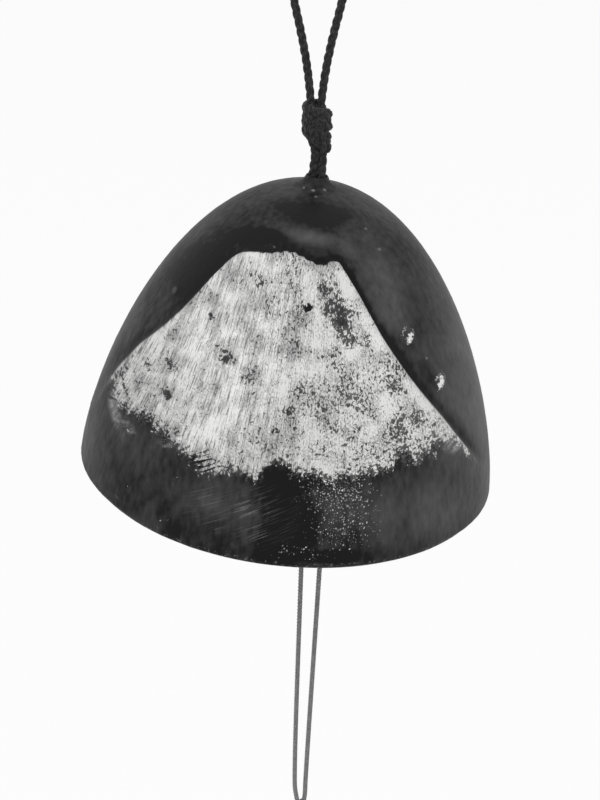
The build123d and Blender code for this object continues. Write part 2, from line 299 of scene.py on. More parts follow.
def finish_colour(name, description, hex_colour):
    """A colour that a user may change."""
    return FloatVectorProperty(
        name=name, description=description, default=linear(hex_colour), size=4, min=0.0, max=1.0,
        subtype="COLOR",
    )


class WindBellSizes(bpy.types.PropertyGroup):
    """Sizes of the wind bell's pieces"""

    cord_diameter: length_size("Cord", "Thickness of the black cord", 1.5)
    cord_lay: length_size("Cord lay", "Length of one turn of the black cord's strands", 4.6)
    cord_spacing: length_size("Cord spacing", "Distance between the doubled cord's centres", 1.7)
    hitch_diameter: length_size("Hitch cord", "Thickness of the cord in the clapper's hitch", 1.0)
    hitch_lay: length_size("Hitch lay", "Length of one turn of the hitch cord's strands", 3.2)
    thread_diameter: length_size("Thread", "Thickness of the grey thread", 1.0)
    thread_lay: length_size("Thread lay", "Length of one turn of the thread's strands", 2.2)
    stop_radius: length_size("Stop knot", "Radius of the ball that the stop knot fills", 3.3)
    hitch_radius: length_size("Hitch", "Radius of the ball that the clapper's hitch fills", 1.7)
    clapper_knot_radius: length_size("Clapper knot", "Radius of the ball that the clapper's knot fills", 2.4)
    strip_knot_radius: length_size("Strip knot", "Radius of the ball that the strip's knot fills", 1.5)
    rim_radius: length_size("Rim radius", "Outside radius of the bell's rim", 38.0)
    dome_height: length_size("Dome height", "Height of the dome above its rim", 53.8)
    wall: length_size("Wall", "Thickness of the bell's wall", 3.0)
    crown_wall: length_size("Crown wall", "Thickness of the dome's crown", 3.4)
    boss_height: length_size("Boss height", "Height above the dome where the cord goes in", 0.7)
    boss_foot_radius: length_size("Boss foot", "Radius of the collar where it meets the dome", 3.8)
    cord_hole_radius: length_size("Cord hole", "Radius of the crown's hole for the cord", 1.9)
    rim_rounding: length_size("Rim rounding", "Rounding of the rim's edges", 0.6)
    stop_above_rim: length_size("Stop knot height", "Height of the stop knot's centre above the rim", 47.261)
    mountain_foot: length_size("Mountain foot", "Height above the rim where the mountain starts to rise", 6.0)
    mountain_edge: length_size("Mountain edge", "Width of the rounded step along the ridge", 0.7)
    groove_depth: length_size("Groove", "Depth of the soft groove outside the ridge", 0.35)
    clapper_radius: length_size("Clapper radius", "Radius of the clapper's disc", 13.0)
    clapper_thickness: length_size("Clapper thickness", "Thickness of the clapper's disc", 4.0)
    clapper_rounding: length_size("Clapper rounding", "Rounding of the disc's edges", 1.4)
    clapper_hole_radius: length_size("Clapper hole", "Radius of the disc's hole for its cord", 1.1)
    clapper_hole_rounding: length_size("Clapper hole rounding", "Rounding of the hole's edges", 0.3)
    strip_width: length_size("Strip width", "Width of the paper strip", 46.0)
    strip_length: length_size("Strip length", "Length of the paper strip", 112.0)
    strip_thickness: length_size("Strip thickness", "Thickness of the paper", 0.4)
    strip_curl_radius: length_size("Strip curl", "Radius of the paper's curl across its width", 160.0)
    strip_hole_radius: length_size("Strip hole", "Radius of the hole that the thread goes through", 1.8)
    strip_hole_inset: length_size("Strip hole inset", "Distance of the hole from the strip's top edge", 6.0)


class WindBellColours(bpy.types.PropertyGroup):
    """Colours of the wind bell's finishes"""

    lacquer: finish_colour("Lacquer", "Black lacquer on the cast iron", "#0a0a0b")
    # On the bell this lighter colour also paints the lacquer's sheen and reflections
    lacquer_haze_and_sheen: finish_colour("Lacquer haze", "Where the lacquer is thin or dusty", "#5c5c5d")
    silver: finish_colour("Silver", "Dry-brushed silver where it is thick", "#dbdbda")
    thin_silver: finish_colour("Thin silver", "Dry-brushed silver where the brush ran dry", "#7a7a7a")
    bare_iron: finish_colour("Bare iron", "Iron that shows along the worn rim", "#747372")
    cord: finish_colour("Cord", "Black cotton cord", "#232324")
    thread: finish_colour("Thread", "Grey cotton thread", "#7c7c7d")
    paper: finish_colour("Paper", "Handmade paper", "#eee9dc")
    floor: finish_colour("Floor", "Matt studio floor", "#f4f4f4")


def deselect_all():
    """Leaves nothing selected."""
    bpy.ops.object.select_all(action="DESELECT")


def make_active(piece):
    """Selects one piece alone."""
    deselect_all()
    piece.select_set(True)
    bpy.context.view_layer.objects.active = piece


def apply_modifier(piece, kind, **settings):
    """Adds a modifier to the active piece, sets it and applies it."""
    bpy.ops.object.modifier_add(type=kind)
    modifier = piece.modifiers[-1]
    for name, value in settings.items():
        setattr(modifier, name, value)
    bpy.ops.object.modifier_apply(modifier=modifier.name)


def close_mesh(merge):
    """Merges the doubled points of the mesh in edit mode, turns its faces outwards and leaves edit mode."""
    bpy.ops.mesh.select_all(action="SELECT")
    bpy.ops.mesh.remove_doubles(threshold=merge * MM)
    bpy.ops.mesh.normals_make_consistent(inside=False)
    bpy.ops.object.mode_set(mode="OBJECT")


def dress(piece, material, body, slot, *nodes):
    """Gives a piece its finish, the body that it moves with and the CAD nodes that it stands for."""
    piece.data.materials.clear()
    piece.data.materials.append(material)
    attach(piece, body)
    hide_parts(*nodes)


def add_node(tree, kind, inputs=(), **settings):
    """Adds a shader node, sets it and fills its inputs, in their order or by name, with values or links."""
    # In order, a MapRange takes a value, its two ends and what it gives there, 0 and 1 if left out
    node = tree.nodes.new("ShaderNode" + kind)
    for name, value in settings.items():
        setattr(node, name, value)
    for key, source in inputs.items() if isinstance(inputs, dict) else enumerate(inputs):
        if isinstance(source, bpy.types.Node):
            source = source.outputs[0]
        if isinstance(source, bpy.types.NodeSocket):
            tree.links.new(source, node.inputs[key])
        else:
            node.inputs[key].default_value = source
    return node


def new_material(name):
    """An empty node material and its tree."""
    material = bpy.data.materials.new(name)
    material.use_nodes = True
    material.node_tree.nodes.clear()
    return material, material.node_tree


def stretched_grain(tree, place, size, detail, turn=0.0, distortion=0.0):
    """Grain of a given width, depth and height, which leans by a turn in the upright plane."""
    sized = add_node(tree, "Mapping", {
        "Vector": place, "Rotation": (0.0, turn, 0.0), "Scale": size,
    }, vector_type="TEXTURE")
    return add_node(tree, "TexNoise", {
        "Vector": sized, "Scale": 1.0, "Detail": detail, "Distortion": distortion,
    })


def ragged_place(tree, place, noise, swing):
    """A place that a noise's colours move about, by half of the swing each way."""
    half_back = tuple(-reach / 2 for reach in swing)
    moved = add_node(tree, "VectorMath", (noise.outputs["Color"], swing, half_back), operation="MULTIPLY_ADD")
    return add_node(tree, "VectorMath", (place, moved), operation="ADD")


def spot_mask(tree, place, spots, soft_from):
    """Soft ellipses on the bell's front, by centre x and z, half width and height, turn and depth."""
    total = 0.0
    for x, z, half_width, half_height, turn, depth in spots:
        local = add_node(tree, "Mapping", {
            "Vector": place,
            "Location": (x, 0.0, z),
            "Rotation": (0.0, math.radians(turn), 0.0),
            "Scale": (half_width, THROUGH, half_height),
        }, vector_type="TEXTURE")
        reach = add_node(tree, "VectorMath", (local,), operation="LENGTH").outputs["Value"]
        inside = add_node(
            tree, "MapRange", (reach, soft_from, 1.1, depth, 0.0), interpolation_type="SMOOTHSTEP"
        )
        total = add_node(tree, "Math", (total, inside), operation="MAXIMUM")
    return total


def seen_share(tree):
    """One for the camera's rays, reflections and what is seen through glass, and none for scattered light."""
    path = add_node(tree, "LightPath")
    seen = path.outputs["Is Camera Ray"]
    for ray in ("Is Glossy Ray", "Is Transmission Ray"):
        seen = add_node(tree, "Math", (seen, path.outputs[ray]), operation="MAXIMUM")
    return seen


def brush_fan(tree, axes):
    """Millimetres across and along the brush's strokes, which fan out from a point above the summit."""
    fan_x = 1.0
    fan_z = 92.0
    reach = 68.0
    across = add_node(tree, "Math", (axes.outputs["X"], fan_x), operation="SUBTRACT")
    down = add_node(tree, "Math", (fan_z, axes.outputs["Z"]), operation="SUBTRACT")
    turn = add_node(tree, "Math", (across, down), operation="ARCTAN2")
    spread = add_node(tree, "Math", (turn, reach), operation="MULTIPLY")
    return add_node(tree, "CombineXYZ", (spread, down))


def brush_dryness(tree, place, fan, axes, marks):
    """How dry the brush ran: none where silver lies full, and UNREACHED or more where it never came."""
    # The lower edge is drawn out in strokes 0.8 mm wide and 3 mm long, and frayed over 0.4 mm
    edge = stretched_grain(tree, fan, (0.8, 3.0, 1.0), 4.0)
    edge_swing = add_node(tree, "Math", (edge, 5.0, -2.5), operation="MULTIPLY_ADD")
    fray = add_node(tree, "TexNoise", {"Vector": place, "Scale": 1 / 0.4, "Detail": 2.0})
    frayed = add_node(tree, "Math", (fray, 4.0, edge_swing), operation="MULTIPLY_ADD")
    snow_reach = add_node(tree, "Math", (marks["above_snow"], frayed), operation="ADD")
    over_snow = add_node(tree, "MapRange", (snow_reach, 0.0, 4.2), interpolation_type="SMOOTHSTEP")
    short = add_node(tree, "Math", (over_snow, -UNREACHED, UNREACHED), operation="MULTIPLY_ADD")

    # Short strokes 0.4 mm wide at its lower left rise to the right, with gaps between them
    strokes = stretched_grain(tree, place, (6.0, THROUGH, 0.4), 3.0, SCRATCH_TURN)
    gaps = add_node(tree, "MapRange", (strokes, 0.53, 0.43))
    stroke_place = spot_mask(tree, place, STROKES, 0.3)
    stroked = add_node(tree, "Math", (gaps, stroke_place), operation="MULTIPLY")

    # It ran drier to the right and at the left end, in blots 4 mm wide
    drier = add_node(
        tree, "MapRange", (axes.outputs["X"], -12.0, 6.0, 0.1, 0.34), interpolation_type="SMOOTHSTEP"
    )
    left_end = add_node(tree, "MapRange", (axes.outputs["X"], -29.0, -34.0, 0.0, 0.7))
    blots = add_node(tree, "TexNoise", {"Vector": place, "Scale": 1 / 4.0, "Detail": 3.0})
    blotted = add_node(tree, "Math", (blots, 1.7, -0.85), operation="MULTIPLY_ADD")

    # Bare patches, and clean bands along the ridge, have outlines that are ragged over 0.9 mm
    tatter = add_node(tree, "TexNoise", {"Vector": place, "Scale": 1 / 0.9, "Detail": 2.0})
    tattered = ragged_place(tree, place, tatter, (1.6, 0.0, 1.6))
    dryness = short
    for share in (stroked, drier, left_end, blotted, spot_mask(tree, tattered, BARE_PATCHES, 0.4)):
        dryness = add_node(tree, "Math", (dryness, share), operation="ADD")
    clean = spot_mask(tree, tattered, CLEAN_BANDS, 0.3)
    return add_node(tree, "Math", (dryness, clean), operation="SUBTRACT")


def snow_cover(tree, place, specks, dryness):
    """How much silver lies on the snow: grains that the brush caught, with thin films between them."""
    waterline = add_node(tree, "Math", (dryness, 0.32, 0.30), operation="MULTIPLY_ADD")
    above_line = add_node(tree, "Math", (specks, waterline), operation="SUBTRACT")
    caught = add_node(tree, "MapRange", (above_line, -0.025, 0.03), interpolation_type="SMOOTHSTEP")
    reached = add_node(tree, "MapRange", (dryness, 1.3, 0.8, 0.0, 0.15))

    # The smears are wisps 0.7 mm wide and 2.4 mm long
    wisps = stretched_grain(tree, place, (2.4, THROUGH, 0.7), 4.0, SCRATCH_TURN)
    wispy = add_node(tree, "MapRange", (wisps, 0.36, 0.62, 0.0, 0.62))
    smear_place = spot_mask(tree, place, SMEARS, 0.1)
    smeared = add_node(tree, "Math", (wispy, smear_place), operation="MULTIPLY")
    film = add_node(tree, "Math", (reached, smeared), operation="MAXIMUM")
    return add_node(tree, "Math", (caught, film), operation="MAXIMUM")


def loose_silver_and_glints(tree, place, axes, marks):
    """Scratches and grit below the snow, with painted sparkle in the grit, the silver on the casting's small
    lumps, and painted highlights in bright silver on its largest lumps.
    """
    # Scratches 0.15 mm wide rise to the right
    scratch_grain = stretched_grain(tree, place, (5.0, THROUGH, 0.15), 1.0, SCRATCH_TURN)
    scratches = add_node(tree, "MapRange", (scratch_grain, 0.54, 0.76, 0.0, 0.28))
    scratch_place = spot_mask(tree, place, SCRATCHES, 0.2)
    scratched = add_node(tree, "Math", (scratches, scratch_place), operation="MULTIPLY")

    # Grains of silver, one to a cell of 0.4 mm, with outlines that are uneven over 0.3 mm. They also paint
    # the cast grain's sparkle, as small painted highlights
    rough = add_node(tree, "TexNoise", {"Vector": place, "Scale": 1 / 0.3, "Detail": 1.0})
    flat = add_node(tree, "CombineXYZ", (axes.outputs["X"], axes.outputs["Z"]))
    uneven = ragged_place(tree, flat, rough, (0.5, 0.5, 0.0))
    cells = add_node(tree, "TexVoronoi", {"Vector": uneven, "Scale": 1 / 0.4}, voronoi_dimensions="2D")
    draw = add_node(tree, "SeparateColor", (cells.outputs["Color"],))
    strewn = add_node(tree, "MapRange", (rough, 0.3, 0.7, 0.5, 1.2))
    sparkle_place = spot_mask(tree, place, GRIT_AND_SPARKLE, 0.0)
    dense = add_node(tree, "Math", (sparkle_place, strewn), operation="MULTIPLY")
    chance = add_node(tree, "Math", (dense, draw.outputs["Red"]), operation="SUBTRACT")
    present = add_node(tree, "MapRange", (chance, 0.0, 0.3))

    # A grain is 0.12 to 0.36 of a cell wide each way from its middle, and brighter or dimmer
    radius = add_node(tree, "Math", (draw.outputs["Green"], 0.24, 0.12), operation="MULTIPLY_ADD")
    depth = add_node(tree, "Math", (radius, cells.outputs["Distance"]), operation="SUBTRACT")
    dots = add_node(tree, "MapRange", (depth, -0.04, 0.1))
    bright = add_node(tree, "Math", (draw.outputs["Blue"], 0.65, 0.33), operation="MULTIPLY_ADD")
    dimmed = add_node(tree, "Math", (dots, bright), operation="MULTIPLY")
    grit_and_sparkle = add_node(tree, "Math", (dimmed, present), operation="MULTIPLY")

    # The painted glints are broken up over 0.4 mm
    tatter = add_node(tree, "TexNoise", {"Vector": place, "Scale": 1 / 0.4, "Detail": 1.0})
    loose_and_glints = spot_mask(tree, ragged_place(tree, place, tatter, (1.5, 0.0, 1.5)), PAINTED_GLINTS, 0.6)
    for share in (scratched, grit_and_sparkle):
        loose_and_glints = add_node(tree, "Math", (loose_and_glints, share), operation="MAXIMUM")

    # Only the front took any of it
    front = add_node(tree, "MapRange", (marks["below_ridge"], OFF_FRONT + 2.0, OFF_FRONT + 3.0))
    on_front = add_node(tree, "Math", (loose_and_glints, front), operation="MULTIPLY")
    return add_node(tree, "Math", (on_front, marks["lump_tops"]), operation="MAXIMUM")


def silver_tone(tree, place, fan, axes, dryness):
    """How bright the silver is, from thin and dull to thick and pale."""
    # The bristles streaked it on the left, in strokes 0.8 mm wide and dark hairlines 0.15 mm wide
    broad = stretched_grain(tree, fan, (0.8, 10.0, 1.0), 3.0, distortion=0.3)
    hairs = stretched_grain(tree, fan, (0.15, 2.6, 1.0), 2.0)
    broad_tone = add_node(tree, "Math", (broad, 1.35, -0.7), operation="MULTIPLY_ADD")
    hair_tone = add_node(tree, "MapRange", (hairs, 0.36, 0.45, -0.85, 0.0))
    streaks = add_node(tree, "Math", (broad_tone, hair_tone), operation="ADD")
    streak_share = add_node(tree, "MapRange", (axes.outputs["X"], -8.0, 8.0, 1.0, 0.4))
    base_tone = add_node(tree, "MapRange", (axes.outputs["X"], -10.0, 8.0, 0.53, 0.84))
    tone = add_node(tree, "Math", (streaks, streak_share, base_tone), operation="MULTIPLY_ADD")

    # Clouds 3.5 mm wide dim it, pits 0.2 mm wide mark its right, and a full brush brightens it
    clouds = add_node(tree, "TexNoise", {"Vector": place, "Scale": 1 / 3.5, "Detail": 3.0})
    dimmer = add_node(tree, "MapRange", (clouds, 0.36, 0.56, -0.25, 0.05))
    pits = stretched_grain(tree, fan, (0.22, 0.4, 1.0), 2.0)
    pit_tone = add_node(tree, "MapRange", (pits, 0.3, 0.6, -0.7, 0.3))
    pit_share = add_node(tree, "MapRange", (axes.outputs["X"], -14.0, 4.0, 0.4, 0.85))
    pitted = add_node(tree, "Math", (pit_tone, pit_share), operation="MULTIPLY")
    fullness = add_node(tree, "MapRange", (dryness, 0.3, -0.2, 0.0, 0.5))
    for share in (dimmer, pitted, fullness):
        tone = add_node(tree, "Math", (tone, share), operation="ADD")
    tone.use_clamp = True
    return tone


def lacquer_haze_and_sheen(tree, place, marks, on_mountain):
    """How hazy the lacquer is, with patches of painted sheen and reflection: in clouds 9 mm wide, with
    mottling about 1 mm wide and 2.6 mm tall.
    """
    clouds = add_node(tree, "TexNoise", {"Vector": place, "Scale": 1 / 9.0, "Detail": 5.0})
    mottle = stretched_grain(tree, place, (1.1, 1.1, 2.6), 3.0)
    haze_and_sheen = add_node(tree, "Math", (clouds, 1.5, -0.56), operation="MULTIPLY_ADD")
    mottled = add_node(tree, "Math", (mottle, 1.1, -0.55), operation="MULTIPLY_ADD")
    # Mottling, and patches of haze with painted sheen and reflections
    for share in (mottled, spot_mask(tree, place, HAZE_AND_SHEEN_PATCHES, 0.1)):
        haze_and_sheen = add_node(tree, "Math", (haze_and_sheen, share), operation="ADD")

    # It is darker in the snow's gaps, darker in patches of painted shade, and darkest in the groove, where
    # its shade is painted
    in_gaps = add_node(tree, "MapRange", (marks["above_snow"], -2.0, 2.0, 0.0, 0.3))
    gap_shade = add_node(tree, "Math", (in_gaps, on_mountain), operation="MULTIPLY")
    groove_shade = add_node(tree, "Math", (marks["in_groove"], 0.75), operation="MULTIPLY")
    for share in (spot_mask(tree, place, PAINTED_SHADE_PATCHES, 0.1), gap_shade, groove_shade):
        haze_and_sheen = add_node(tree, "Math", (haze_and_sheen, share), operation="SUBTRACT")
    return add_node(tree, "MapRange", (haze_and_sheen, 0.0, 1.6))


def bell_finish(colours, rim_centre):
    """Cast iron under satin black lacquer, dry-brushed with silver on the mountain."""
    # The lacquer is nearly black with hazy patches, painted sheen and painted shade, and the silver is
    # streaked, with specks that it missed and painted glints
    material, tree = new_material("Lacquered cast iron with dry-brushed silver")
    where = add_node(tree, "TexCoord")
    place = add_node(tree, "Mapping", {
        "Vector": where.outputs["Object"],
        "Location": rim_centre,
        "Rotation": (0.0, BELL_TILT, 0.0),
        "Scale": (MM, MM, MM),
    }, vector_type="TEXTURE")
    axes = add_node(tree, "SeparateXYZ", (place,))
    marks = {
        name: add_node(tree, "Attribute", attribute_name=name).outputs["Fac"]
        for name in ("below_ridge", "above_snow", "in_groove", "lump_tops")
    }

    # Specks about 0.5 mm wide that the brush missed, more of them where it ran dry
    fan = brush_fan(tree, axes)
    dryness = brush_dryness(tree, place, fan, axes, marks)
    specks = stretched_grain(tree, fan, (0.46, 0.56, 1.0), 3.0, distortion=0.8)
    laid = snow_cover(tree, place, specks, dryness)
    on_mountain = add_node(
        tree, "MapRange", (marks["below_ridge"], -0.05, 0.35), interpolation_type="SMOOTHSTEP"
    )
    snow = add_node(tree, "Math", (laid, on_mountain), operation="MULTIPLY")
    loose_and_glints = loose_silver_and_glints(tree, place, axes, marks)
    paint = add_node(tree, "Math", (snow, loose_and_glints), operation="MAXIMUM")

    # The silver's colour, and the lacquer's below it
    brushed_tone = silver_tone(tree, place, fan, axes, dryness)
    # Painted highlights: the glints, like the scratches and grit, take the brightest silver tone
    tone = add_node(tree, "Math", (brushed_tone, loose_and_glints), operation="MAXIMUM")
    silver = add_node(tree, "Mix", {0: tone, 6: colours.thin_silver, 7: colours.silver}, data_type="RGBA")
    haze_and_sheen_share = lacquer_haze_and_sheen(tree, place, marks, on_mountain)
    lacquer = add_node(tree, "Mix", {0: haze_and_sheen_share, 6: colours.lacquer, 7: colours.lacquer_haze_and_sheen}, data_type="RGBA")

    # The lowest 0.4 mm of the rim is rubbed through in marks about 0.6 mm long
    rub_noise = add_node(tree, "TexNoise", {"Vector": place, "Scale": 1 / 0.6, "Detail": 3.0})
    rub_height = add_node(tree, "MapRange", (axes.outputs["Z"], 0.4, 0.1))
    rub_chance = add_node(tree, "MapRange", (rub_noise, 0.56, 0.72))
    rubbed = add_node(tree, "Math", (rub_height, rub_chance), operation="MULTIPLY")
    worn = add_node(tree, "Mix", {0: rubbed, 6: lacquer.outputs[2], 7: colours.bare_iron}, data_type="RGBA")
    colour = add_node(tree, "Mix", {0: paint, 6: worn.outputs[2], 7: silver.outputs[2]}, data_type="RGBA")

    # Cast grain 0.8 mm wide shows through the lacquer, and the silver lies rougher over it
    cast_grain = add_node(tree, "TexNoise", {"Vector": place, "Scale": 1 / 0.8, "Detail": 3.0})
    brushed = add_node(tree, "MapRange", (marks["above_snow"], -1.0, 1.0))
    brushed_side = add_node(tree, "Math", (brushed, on_mountain), operation="MULTIPLY")
    painted_grain = add_node(tree, "Math", (brushed_side, specks), operation="MULTIPLY")
    height = add_node(tree, "Math", (cast_grain, painted_grain), operation="ADD")
    bump = add_node(tree, "Bump", {"Height": height, "Strength": 1.0, "Distance": 0.06 * MM})

    # Silver flakes are partly metal, and a little rougher than the satin lacquer
    metal = add_node(tree, "Math", (paint, 0.4), operation="MULTIPLY")
    roughness = add_node(tree, "Math", (paint, 0.05, 0.5), operation="MULTIPLY_ADD")
    surface = add_node(tree, "BsdfPrincipled", {
        "Base Color": colour.outputs[2], "Metallic": metal, "Roughness": roughness, "Normal": bump,
        "IOR": 1.5, "Specular IOR Level": 0.13,
    })
    add_node(tree, "OutputMaterial", {"Surface": surface})
    return material


def clapper_finish(colours):
    """Cast iron under the same satin black lacquer, left plain."""
    # It is nearly black, hazy in clouds 6 mm wide, and its cast grain 0.8 mm wide breaks up the shine
    material, tree = new_material("Lacquered cast iron")
    place = add_node(tree, "TexCoord").outputs["Object"]
    clouds = add_node(tree, "TexNoise", {"Vector": place, "Scale": 1 / (6.0 * MM), "Detail": 5.0})
    haze_and_sheen_share = add_node(tree, "MapRange", (clouds, 0.35, 0.75))
    colour = add_node(tree, "Mix", {0: haze_and_sheen_share, 6: colours.lacquer, 7: colours.lacquer_haze_and_sheen}, data_type="RGBA")
    grain = add_node(tree, "TexNoise", {"Vector": place, "Scale": 1 / (0.8 * MM), "Detail": 3.0})
    bump = add_node(tree, "Bump", {"Height": grain, "Strength": 1.0, "Distance": 0.06 * MM})
    surface = add_node(tree, "BsdfPrincipled", {
        "Base Color": colour.outputs[2], "Roughness": 0.48, "Normal": bump,
        "IOR": 1.5, "Specular IOR Level": 0.3,
    })
    add_node(tree, "OutputMaterial", {"Surface": surface})
    return material


def cotton_finish(name, colour, fibre):
    """Twisted cotton, whose fibres have a width in millimetres and are twice as long."""
    # It is matt, with fibres from dark to light that catch a little light along the strands
    material, tree = new_material(name)
    place = add_node(tree, "TexCoord").outputs["Object"]
    fibres = stretched_grain(tree, place, (fibre * MM, fibre * MM, 2 * fibre * MM), 3.0)
    dark = tuple(channel * 0.2 for channel in colour[:3]) + (1.0,)
    light = tuple(channel * 3.0 for channel in colour[:3]) + (1.0,)
    share = add_node(tree, "MapRange", (fibres, 0.4, 0.75))
    shade = add_node(tree, "Mix", {0: share, 6: dark, 7: light}, data_type="RGBA")
    bump = add_node(tree, "Bump", {"Height": fibres, "Strength": 1.0, "Distance": 0.08 * MM})
    surface = add_node(tree, "BsdfPrincipled", {
        "Base Color": shade.outputs[2], "Roughness": 0.8, "Normal": bump, "Specular IOR Level": 0.25,
        "Sheen Weight": 0.15, "Sheen Roughness": 0.5,
    })
    add_node(tree, "OutputMaterial", {"Surface": surface})
    return material


def paper_finish(colours):
    """Handmade paper, with long fibres laid at three angles."""
    # It is matt and pale with soft clouds. Its fibres are 9 mm long, and drawn 0.35 mm wide so that they show
    material, tree = new_material("Handmade mulberry paper")
    place = add_node(tree, "TexCoord").outputs["Object"]
    clouds = add_node(tree, "TexNoise", {"Vector": place, "Scale": 1 / (12.0 * MM), "Detail": 4.0})
    fibre_size = (9.0 * MM, 9.0 * MM, 0.35 * MM)
    fibres = 0.0
    for turn in (20.0, 75.0, 130.0):
        laid = stretched_grain(tree, place, fibre_size, 1.0, math.radians(turn), 0.6)
        line = add_node(tree, "MapRange", (laid, 0.66, 0.74))
        fibres = add_node(tree, "Math", (fibres, line), operation="MAXIMUM")
    shade = tuple(channel * 0.86 for channel in colours.paper[:3]) + (1.0,)
    cloudy = add_node(tree, "MapRange", (clouds, 0.35, 0.65, 0.0, 0.35))
    shaded = add_node(tree, "Math", (fibres, 0.5, cloudy), operation="MULTIPLY_ADD")
    colour = add_node(tree, "Mix", {0: shaded, 6: colours.paper, 7: shade}, data_type="RGBA")
    bump = add_node(tree, "Bump", {"Height": fibres, "Strength": 1.0, "Distance": 0.04 * MM})
    surface = add_node(tree, "BsdfPrincipled", {
        "Base Color": colour.outputs[2], "Roughness": 0.85, "Normal": bump, "Specular IOR Level": 0.2,
    })
    add_node(tree, "OutputMaterial", {"Surface": surface})
    return material


def floor_finish(colours):
    """Matt white board."""
    # The camera and reflections see it near white, with the object's shadow kept
    material, tree = new_material("Matt white board")
    share = add_node(tree, "Math", (seen_share(tree), FLOOR_WHITE_SHARE), operation="MULTIPLY")
    matt = add_node(tree, "BsdfDiffuse", {"Color": colours.floor})
    glow = add_node(tree, "Emission", {"Color": WHITE, "Strength": 1.0})
    surface = add_node(tree, "MixShader", (share, matt, glow))
    add_node(tree, "OutputMaterial", {"Surface": surface})
    return material


def spaced(line, step):
    """Points along a line, evenly spaced."""
    places = np.array([tuple(place) for place in line])
    run = np.concatenate([[0.0], np.cumsum(np.linalg.norm(np.diff(places, axis=0), axis=1))])
    stops = np.linspace(0.0, run[-1], max(2, round(run[-1] / step) + 1))
    return [Vector(place) for place in np.stack([np.interp(stops, run, axis) for axis in places.T], 1)]


def route_line(points):
    """Points read along the smooth line of a cord's route."""
    curve = bpy.data.curves.new("route", "CURVE")
    curve.dimensions = "3D"
    curve.resolution_u = 24
    spline = curve.splines.new("NURBS")
    spline.points.add(len(points) - 1)
    for point, place in zip(spline.points, points):
        point.co = (*place, 1.0)
    spline.order_u = 3
    spline.use_endpoint_u = True
    holder = bpy.data.objects.new("route", curve)
    bpy.context.collection.objects.link(holder)
    mesh = bpy.data.meshes.new_from_object(holder)
    line = [vertex.co.copy() for vertex in mesh.vertices]
    bpy.data.objects.remove(holder)
    bpy.data.meshes.remove(mesh)
    bpy.data.curves.remove(curve)
    return line


def laid_strands(curve, line, diameter, lay):
    """Adds strands to a curve, which wind round a line as in a laid cord."""
    strand_share = STRAND_PRESS / (1 + 1 / math.sin(math.pi / STRANDS))
    offset = diameter / 2 * (1 - strand_share)
    curve.bevel_depth = diameter / 2 * strand_share
    run = 0.0
    ahead = line[1:] + [line[-1] * 2 - line[-2]]
    normal = Vector((0.0, 1.0, 0.0))
    places = [[] for _ in range(STRANDS)]
    for here, following in zip(line, ahead):
        tangent = (following - here).normalized()
        normal = (normal - tangent * normal.dot(tangent)).normalized()
        side = tangent.cross(normal)
        for strand in range(STRANDS):
            turn = 2 * math.pi * (strand / STRANDS + run / lay)
            places[strand].append(here + (normal * math.cos(turn) + side * math.sin(turn)) * offset)
        run += (following - here).length
    for strand in places:
        spline = curve.splines.new("POLY")
        spline.points.add(len(strand) - 1)
        for point, place in zip(spline.points, strand):
            point.co = (*place, 1.0)


def cord_piece(name, lines, diameter, lay, step):
    """A piece of laid cord along one or more lines, as a closed mesh."""
    curve = bpy.data.curves.new(name, "CURVE")
    curve.dimensions = "3D"
    curve.bevel_resolution = 2
    curve.use_fill_caps = True
    for line in lines:
        laid_strands(curve, spaced(line, step * MM), diameter, lay)
    piece = bpy.data.objects.new(name, curve)
    bpy.context.collection.objects.link(piece)
    make_active(piece)
    bpy.ops.object.convert(target="MESH")
    piece = bpy.context.object
    bpy.ops.object.mode_set(mode="EDIT")
    close_mesh(CORD_MERGE)
    bpy.ops.object.shade_smooth()
    return piece


def strand_offset(side, middle, spread, up=0.0):
    """How far one of two strands lies to the side, which is -1 or 1, and above."""
    return Vector(((middle + side * spread) * MM, 0.0, up * MM))


def overhand_line(centre, ball_radius, diameter):
    """The line of a tightened overhand knot that fits in a ball."""
    size = (ball_radius - diameter / 2) / 3
    steps = 144
    tallness = 2.3
    line = []
    for step in range(steps + 1):
        turn = 2 * math.pi * step / steps
        line.append(centre + Vector((
            size * (math.sin(turn) + 2 * math.sin(2 * turn)),
            size * (math.cos(turn) - 2 * math.cos(2 * turn)),
            -tallness * size * math.sin(3 * turn),
        )))
    return line


def wrap_line(strand_shift, drawn_in):
    """One strand of the top knot's wrap, which winds down round the cord and draws in at its ends."""
    left = NECK_DOWN.cross(FRONT)
    turns, drops, radii, spreads = zip(*WRAP_COURSE)
    line = []
    for degrees in range(turns[0], turns[-1] + 1, WRAP_STEP):
        turn = math.radians(degrees)
        radius = (np.interp(degrees, turns, radii) - drawn_in) * MM
        drop = (np.interp(degrees, turns, drops) + strand_shift * np.interp(degrees, turns, spreads)) * MM
        out = left * math.cos(turn) + FRONT * math.sin(turn)
        line.append(KNOT_CENTRE + NECK_DOWN * drop + out * radius)
    return line


